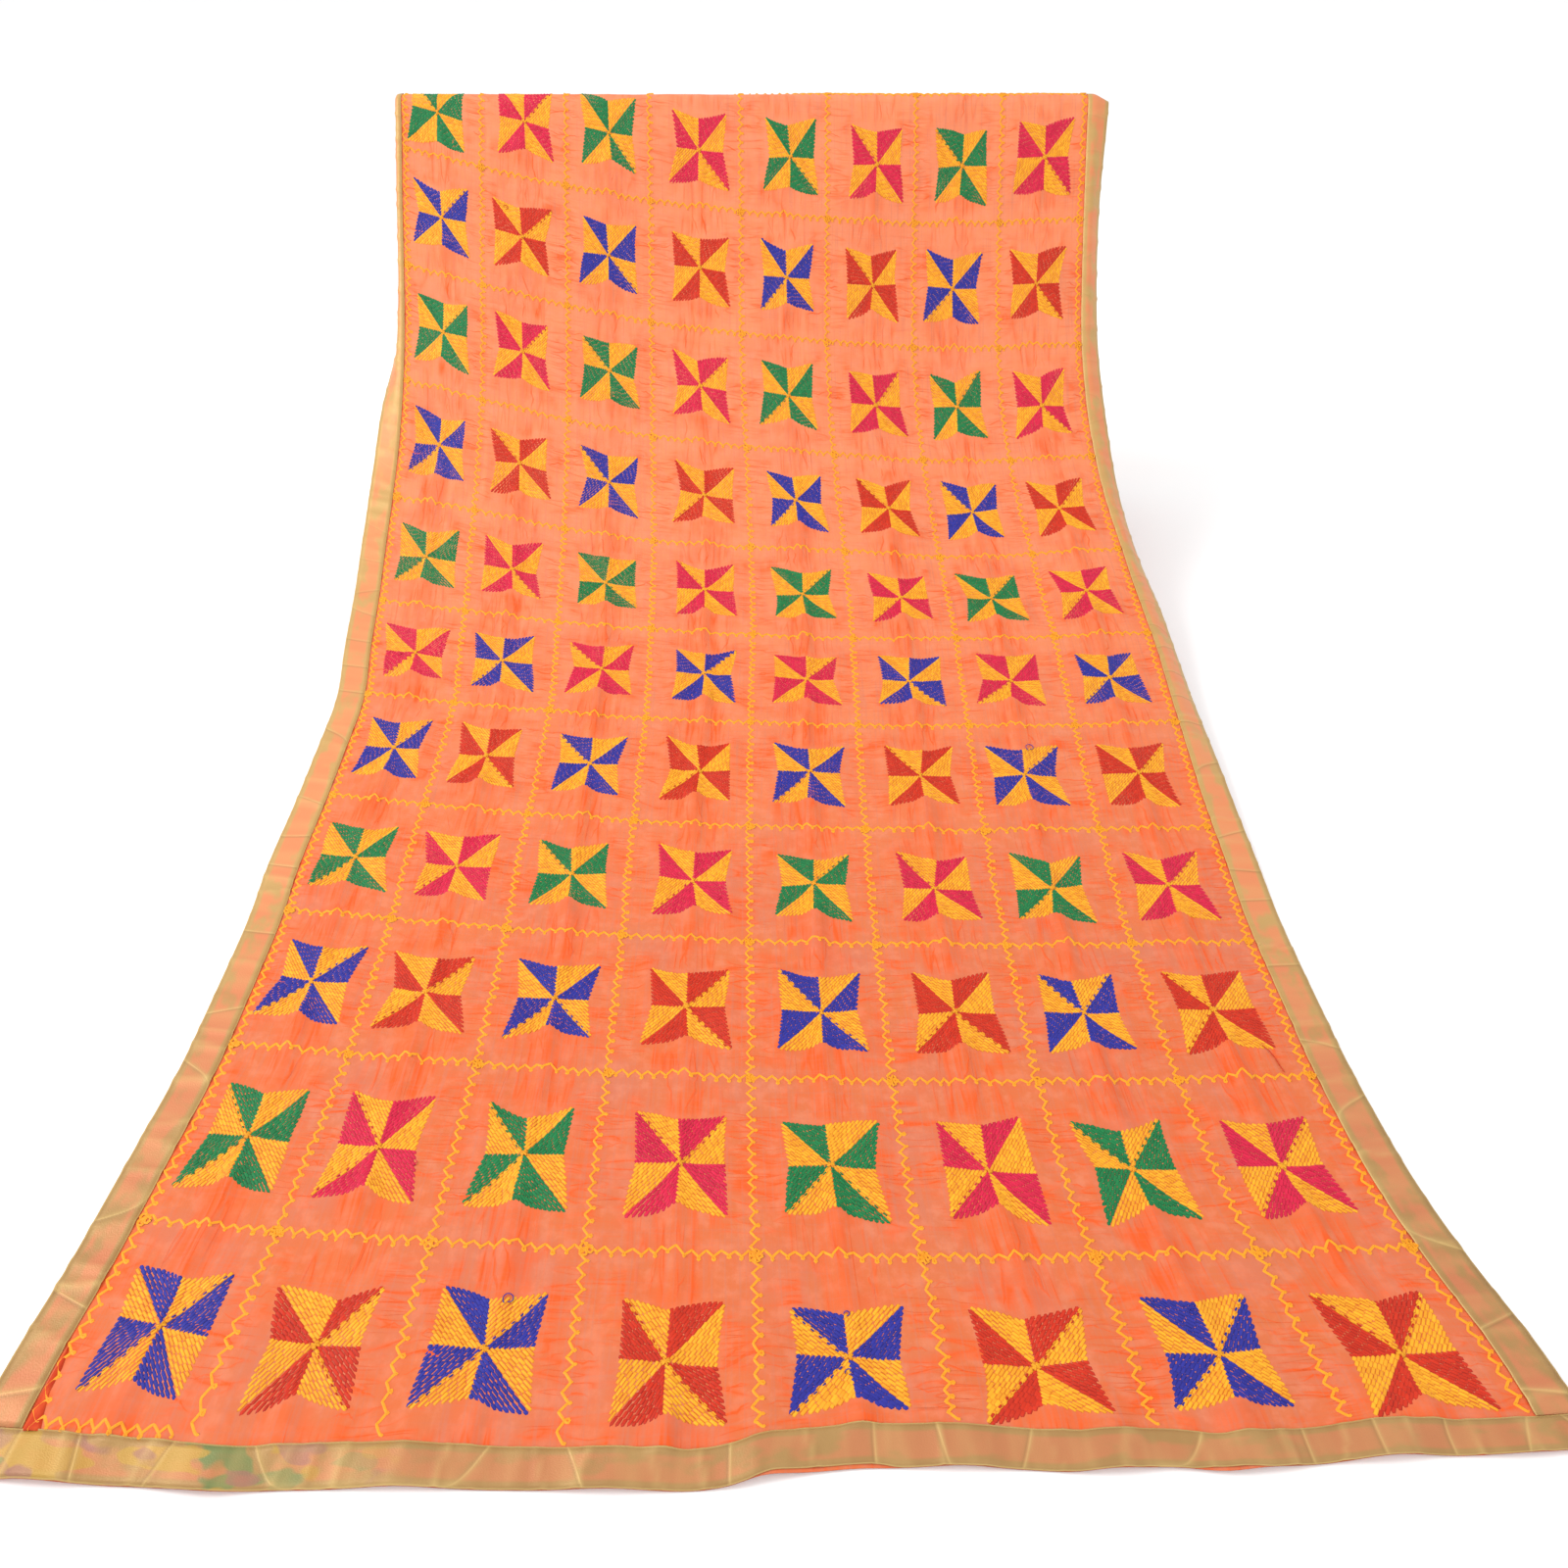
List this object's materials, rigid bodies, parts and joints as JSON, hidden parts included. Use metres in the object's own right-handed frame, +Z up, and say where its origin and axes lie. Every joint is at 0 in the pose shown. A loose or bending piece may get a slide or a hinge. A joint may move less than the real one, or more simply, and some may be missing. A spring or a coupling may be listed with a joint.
{
  "type": "phulkari shawl on a rod",
  "caption": "Phulkari shawl of thin orange cloth with gold border tapes, hung over a plain rod, its near part laid on the floor.",
  "frame": {"origin": "on the rod's axis, at the middle of its length, where whatever carries the rod holds the shawl up", "axes": "+X along the rod to the viewer's right, +Y from the near hem towards the rod and the back, +Z up"},
  "size_m": [1.016, 1.4363, 0.534],
  "materials": {
    "orange_muslin": "matte",
    "gold_tissue": "satin",
    "white_rod": "satin",
    "gold_thread": "satin",
    "green_thread": "satin",
    "magenta_thread": "satin",
    "blue_thread": "satin",
    "red_thread": "satin"
  },
  "bodies": {
    "root": {"cloth_laid": "orange_muslin", "cloth_rising": "orange_muslin", "cloth_behind": "orange_muslin", "tape_left": "gold_tissue", "tape_right": "gold_tissue", "tape_near_end": "gold_tissue", "tape_far_end": "gold_tissue", "rod": "white_rod"}
  },
  "joints": []
}
